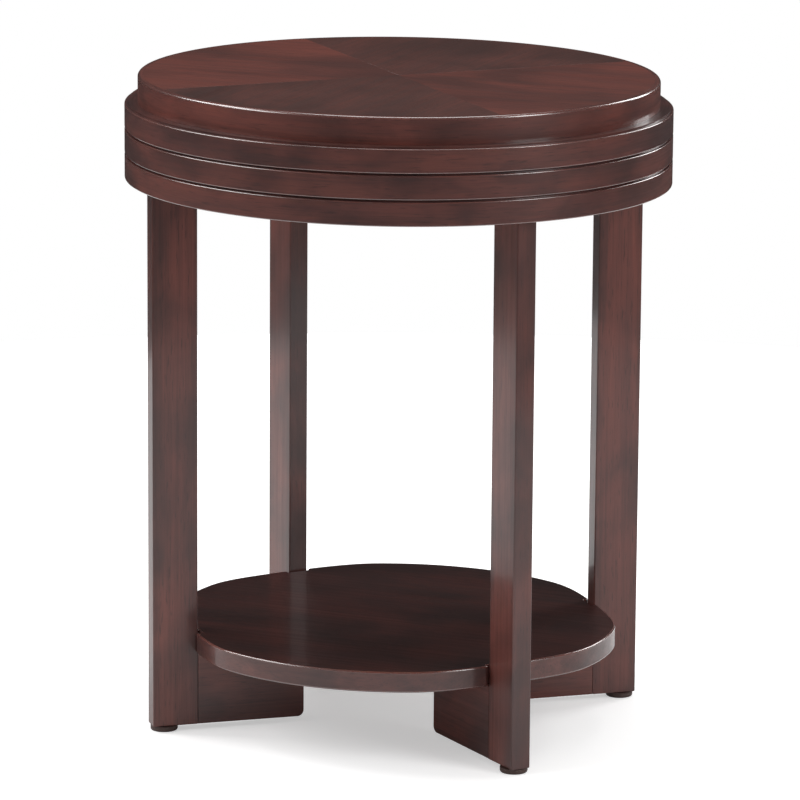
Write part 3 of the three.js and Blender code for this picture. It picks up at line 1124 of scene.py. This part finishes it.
@dataclass
class Legs:
    """Four leg boards, each with a foot board butted to its inner edge and a glide below."""

    spread: float = math.radians(38.8)
    outer_radius: float = 232.5 * MM
    width: float = 42.0 * MM
    thickness: float = 19.0 * MM
    arris: float = 1.3 * MM
    end_arris: float = 0.7 * MM
    joint_arris: float = 0.35 * MM
    joint_below: float = 0.4 * MM
    joint_above: float = 0.9 * MM
    glue_line: float = 0.3 * MM
    foot_length: float = 100.5 * MM
    foot_corner: float = 6.0 * MM
    foot_upper_corner: float = 1.5 * MM
    screw_radius: float = 140.0 * MM
    screw_length: float = 38.0 * MM
    screw_bite: float = 13.0 * MM
    glide_radius: float = 12.5 * MM
    glide_gap: float = 0.1 * MM
    nail_radius: float = 1.5 * MM
    nail_length: float = 12.0 * MM
    leg_shift: float = 1.3
    foot_shift: float = 0.9
    first_foot_shift: float = 7.0
    bottom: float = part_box("leg_front_right")[0].z
    top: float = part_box("leg_front_right")[1].z
    foot_top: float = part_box("foot_front_right")[1].z
    shelf_bottom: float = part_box("shelf")[0].z

    @property
    def inner_radius(self) -> float:
        """Distance from the middle of the table to a leg's inner edge."""
        return self.outer_radius - self.width

    def build(self) -> None:
        """Make all legs, feet, glides and shelf screws, and dress the dowels."""
        screw = WoodScrew.into(self.shelf_bottom, self.screw_bite, self.screw_length)
        for number, corner in enumerate(Corner):
            self.leg(corner, number)
            self.foot(corner, number, screw)
        reach = self.outer_radius - self.glide_radius
        nodes = [f"glide_{corner.label}" for corner in Corner]
        glides = Ring(Oval(reach, reach), self.spread)
        glides.fit("floor_glides", self.glide(), Finishes.nylon, nodes)
        nodes = [f"shelf_screw_{corner.label}" for corner in Corner]
        screws = Ring(Oval(self.screw_radius, self.screw_radius), self.spread)
        screws.fit("shelf_screws", screw.build(), Finishes.zinc, nodes)
        for name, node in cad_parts.items():
            if "_dowel_" in name:
                dress(node, Finishes.beech)

    def stand(self, piece: Piece, corner: Corner, kind: str) -> None:
        """Turn a finished board to its corner and hand it over."""
        piece.data.transform(Matrix.Rotation(corner.direction(self.spread), 4, "Z"))
        hand_over(piece, Finishes.board, [f"{kind}_{corner.label}"])

    def leg(self, corner: Corner, number: int) -> None:
        """One leg board. Its inner edge stays square where the foot butts against it.

        Args:
            corner: Which leg.
            number: Its number, which picks its piece of the grain.
        """
        end, square = self.end_arris, self.joint_arris
        knee = 0.3 * end
        # Height, how far the board is drawn in there, and the radius of its inner edges.
        levels = [
            (self.bottom, end, square),
            (self.bottom + knee, knee, square),
            (self.bottom + end, 0.0, square),
            (self.foot_top - self.joint_below, 0.0, square),
            (self.foot_top + self.joint_above, 0.0, self.arris),
            (self.top, 0.0, self.arris),
        ]
        rings = []
        for height, inset, inner in levels:
            half, outer = self.thickness / 2 - inset, self.arris
            low, high = self.inner_radius + inset, self.outer_radius - inset
            corners = [
                (high - outer, half - outer, outer, 0),
                (low + inner, half - inner, inner, 90),
                (low + inner, inner - half, inner, 180),
                (high - outer, outer - half, outer, 270),
            ]
            rings.append([(x, y, height) for place in corners for x, y in arc(*place, steps=5)])
        piece = smooth(skin(f"leg_board_{corner.label}", rings))
        half = self.width / 2
        lay_grain(piece, "zxy", self.leg_shift * number, self.outer_radius - half, half)
        self.stand(piece, corner, "leg")

    def foot(self, corner: Corner, number: int, screw: WoodScrew) -> None:
        """One foot board, flush with its leg at the joint and eased elsewhere.

        Args:
            corner: Which leg it belongs to.
            number: Its number, which picks its piece of the grain.
            screw: The screw that goes up through it.
        """
        outer = self.inner_radius - self.glue_line
        inner = outer - self.foot_length
        low, high = self.foot_corner, self.foot_upper_corner
        outline = [(outer, self.bottom), (outer, self.foot_top)]
        outline += arc(inner + high, self.foot_top - high, high, 90, 4)
        outline += arc(inner + low, self.bottom + low, low, 180, 8)
        half = self.thickness / 2
        ease = [(inset, half - depth) for inset, depth in easing(self.arris, 4)]
        rings = []
        for inset, aside in [(inset, -aside) for inset, aside in reversed(ease)] + ease:
            pairs = zip(drawn_in(outline, inset), outline)
            rings.append([(outer if old[0] == outer else x, aside, z) for (x, z), old in pairs])
        piece = skin(f"foot_board_{corner.label}", rings)
        smooth(bored(piece, [screw.hole(self.screw_radius, 0.0, self.bottom)]))
        shift = self.foot_shift * number + self.first_foot_shift
        lay_grain(piece, "xzy", shift, (self.bottom + self.foot_top) / 2)
        self.stand(piece, corner, "foot")

    def glide(self) -> Piece:
        """Moulded glide with a rounded rim and a nail.

        Returns:
            The glide, on the Z axis.
        """
        radius, top = self.glide_radius, self.bottom - self.glide_gap
        # Millimetres that each ring of the rim lies inside the radius and over the floor.
        rim = [(1.6, 0.0), (0.8, 0.15), (0.2, 0.8), (0.0, 1.6)]
        profile = [(radius - inset * MM, height * MM) for inset, height in rim]
        profile += [(radius, top - 0.3 * MM), (radius - 0.4 * MM, top)]
        profile += [(self.nail_radius, top), (self.nail_radius, top + self.nail_length)]
        return turned("glide", profile, 48)


@dataclass
class Shelf:
    """Oval veneered shelf on the feet, a little flattened and notched at each leg."""

    legs: Legs
    overlap: float = 3.0 * MM
    flattening: float = 14.0 * MM
    notch_gap: float = 3.0 * MM
    side_clearance: float = 1.5 * MM
    mouth: float = 3.0 * MM
    mouth_steps: int = 12
    mouth_rounds: int = 8
    arris: float = 1.5 * MM
    veneer: float = 0.6 * MM
    seam: float = 0.05 * MM
    steps: int = 320
    grain_shift: float = 4.1
    oval: Oval = Oval.of_node("shelf")
    bottom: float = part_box("shelf")[0].z
    top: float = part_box("shelf")[1].z

    def build(self) -> None:
        """Make the shelf board and the veneer let into its top, the veneer's finish darkened as
        painted shade under the table top.
        """
        outline = self.outline()
        floor = self.top - self.veneer
        rim = self.arris + 2 * self.seam
        ease = easing(self.arris, 5)
        levels = [(inset, self.bottom + depth) for inset, depth in reversed(ease)]
        levels += [(inset, self.top - depth) for inset, depth in ease]
        levels += [(rim, self.top), (rim, floor)]
        board = smooth(slab("shelf_board", outline, levels))
        lay_grain(board, "xzy", self.grain_shift)
        # Eased edges of the shelf board take the finish with painted highlights.
        hand_over(board, Finishes.band, ["shelf"], Finishes.edge)
        levels = [(rim + self.seam, floor + self.seam), (rim + self.seam, self.top)]
        leaf = smooth(slab("shelf_veneer", outline, levels))
        lay_grain(leaf, "xyz", self.grain_shift)
        # The veneer's very dark finish is painted shade and painted dark reflection under the
        # table top.
        hand_over(leaf, Finishes.shelf, ["shelf"])

    def reach(self, direction: float) -> float:
        """Distance from the middle to the edge in some direction, notches left out.

        Args:
            direction: The direction in radians.

        Returns:
            The distance.
        """
        reach = self.oval.reach(direction)
        for corner in Corner:
            facing = math.cos(direction - corner.direction(self.legs.spread))
            if facing > math.cos(NEAR_LEG):
                # The smaller of both distances, blended where they are nearly alike.
                flat = (self.legs.inner_radius + self.overlap) / facing
                share = min(1.0, max(0.0, 0.5 + 0.5 * (flat - reach) / self.flattening))
                reach = flat + (reach - flat) * share - self.flattening * share * (1.0 - share)
        return reach

    def notch(self, direction: float) -> list[Spot]:
        """Points of one notch with rounded mouths, anticlockwise round the table.

        Args:
            direction: Direction of the leg in radians.

        Returns:
            The points in plan.
        """
        half = self.legs.thickness / 2 + self.side_clearance
        floor = self.legs.inner_radius - self.notch_gap
        aside = half + self.mouth
        points = [(floor, -half), (floor, half)]
        for side in (-1, 1):
            along = self.reach(direction)
            for _ in range(self.mouth_rounds):
                # Each round comes nearer to where the edge lies beside the notch.
                reach = self.reach(direction + math.atan2(side * aside, along))
                along = math.sqrt(reach**2 - aside**2)
            if side < 0:
                points = arc(along - self.mouth, -aside, self.mouth, 0, self.mouth_steps) + points
            else:
                points += arc(along - self.mouth, aside, self.mouth, -90, self.mouth_steps)
        turn = Matrix.Rotation(direction, 2)
        return [tuple(turn @ Vector(point)) for point in points]

    def outline(self) -> list[Spot]:
        """The edge with its four notches.

        Returns:
            Its points in plan, anticlockwise from the front right leg's notch.
        """
        notches = [self.notch(corner.direction(self.legs.spread)) for corner in Corner]
        points = []
        for notch, following in zip(notches, notches[1:] + notches[:1]):
            points += notch
            start = math.atan2(notch[-1][1], notch[-1][0])
            end = math.atan2(following[0][1], following[0][0])
            if end < start:
                end += math.tau
            count = max(2, round(self.steps * (end - start) / math.tau))
            for step in range(1, count):
                direction = start + (end - start) * step / count
                points.append(polar(self.reach(direction), direction))
        return points


# Camera and studio


@dataclass(frozen=True)
class Viewpoint:
    """Camera where the photograph was taken from, level with its horizon but for a small roll."""

    azimuth: float = math.radians(22.068)
    elevation: float = math.radians(12.592)
    distance: float = 5.0561
    aim_aside: float = 3.18 * MM
    aim_height: float = 296.1 * MM
    roll: float = math.radians(0.413)
    # Focal length over the picture's width, both in pixels.
    focal_share: float = 5521.5 / 800
    farthest: float = 50.0

    def place(self) -> None:
        """Create the camera and make it the scene's."""
        lens = bpy.data.cameras.new("camera")
        lens.sensor_width = SENSOR_WIDTH
        lens.lens = SENSOR_WIDTH * self.focal_share
        lens.clip_end = self.farthest
        camera = new_object("camera", lens)
        tilt = Matrix.Rotation(math.pi / 2 - self.elevation, 4, "X")
        stand = Matrix.Translation((0.0, 0.0, self.aim_height))
        stand @= Matrix.Rotation(self.azimuth, 4, "Z") @ tilt
        stand @= Matrix.Translation((self.aim_aside, 0.0, self.distance))
        camera.matrix_world = stand @ Matrix.Rotation(self.roll, 4, "Z")
        bpy.context.scene.camera = camera


@dataclass(frozen=True)
class Softbox:
    """A soft rectangular lamp that looks at the table."""

    name: str
    spot: Point
    aim: Point
    size: Spot
    power: float

    def place(self) -> None:
        """Create the lamp."""
        lamp = bpy.data.lights.new(self.name, "AREA")
        lamp.shape = "RECTANGLE"
        lamp.size, lamp.size_y = self.size
        lamp.energy = self.power
        holder = new_object(self.name, lamp)
        gaze = Vector(self.aim) - Vector(self.spot)
        holder.rotation_euler = gaze.to_track_quat("-Z", "Y").to_euler()
        holder.location = self.spot


@dataclass(frozen=True)
class Studio:
    """Pale floor, white surroundings and soft lamps."""

    floor_radius: float = 1.7
    floor_grey: float = 0.82
    floor_roughness: float = 0.9
    floor_lift: float = 0.45
    fill: float = 0.42
    mirrored: float = 0.03
    lamps: tuple[Softbox, ...] = (
        Softbox("left softbox", (-2.3, -1.9, 2.3), (0, 0, 0.35), (1.5, 1.5), 36.0),
        Softbox("right softbox", (2.6, -0.7, 1.5), (0, 0, 0.3), (0.9, 1.8), 26.0),
        Softbox("overhead softbox", (-0.2, 0.6, 2.9), (0, 0, 0.5), (1.6, 1.6), 26.0),
        Softbox("left edge light", (-2.3, -0.3, 2.4), (0, 0, 0.45), (0.9, 1.7), 34.0),
        Softbox("right edge light", (1.3, 2.4, 1.7), (0, 0, 0.45), (0.9, 1.7), 34.0),
    )

    def build(self) -> None:
        """Make the floor, the world and the lamps."""
        bpy.context.scene.view_settings.view_transform = "Standard"
        self.floor()
        self.world()
        for lamp in self.lamps:
            lamp.place()

    def floor(self) -> None:
        """Round pale floor that keeps the table's shadow."""
        turns = [math.tau * i / FLOOR_SIDES for i in range(FLOOR_SIDES)]
        mesh = bpy.data.meshes.new("floor")
        rim = [(*polar(self.floor_radius, turn), 0.0) for turn in turns]
        mesh.from_pydata(rim, [], [range(FLOOR_SIDES)])
        floor = new_object("floor", mesh)
        wiring, shader = blank_material("pale floor")
        seen = wiring.add("ShaderNodeLightPath").outputs["Is Camera Ray"]
        grey = self.floor_grey
        wiring.fill(shader, Base_Color=(grey, grey, grey, 1.0), Roughness=self.floor_roughness)
        wiring.fill(shader, Specular_IOR_Level=0.0, Emission_Color=WHITE)
        wiring.fill(shader, Emission_Strength=wiring.math("MULTIPLY", seen, self.floor_lift))
        dress(floor, bpy.data.materials["pale floor"])

    def world(self) -> None:
        """White to the camera, a soft even fill to the table."""
        world = bpy.data.worlds.new("studio")
        world.use_nodes = True
        world.node_tree.nodes.clear()
        wiring = Wiring(world.node_tree)
        rays = wiring.add("ShaderNodeLightPath").outputs
        dimming = self.mirrored - self.fill
        lit = wiring.math("MULTIPLY_ADD", rays["Is Glossy Ray"], dimming, self.fill)
        missing = wiring.math("SUBTRACT", 1.0, lit)
        strength = wiring.math("MULTIPLY_ADD", rays["Is Camera Ray"], missing, lit)
        background = wiring.add("ShaderNodeBackground", Color=WHITE, Strength=strength)
        wiring.add("ShaderNodeOutputWorld", Surface=background)
        bpy.context.scene.world = world


def main() -> None:
    """Build the camera, the studio and every sub-assembly, in order."""
    logging.basicConfig(level=logging.INFO, format="%(name)s %(message)s")
    Viewpoint().place()
    Studio().build()
    TopPlate().build()
    Apron().build()
    legs = Legs()
    legs.build()
    Shelf(legs).build()


if __name__ == "__main__":
    main()
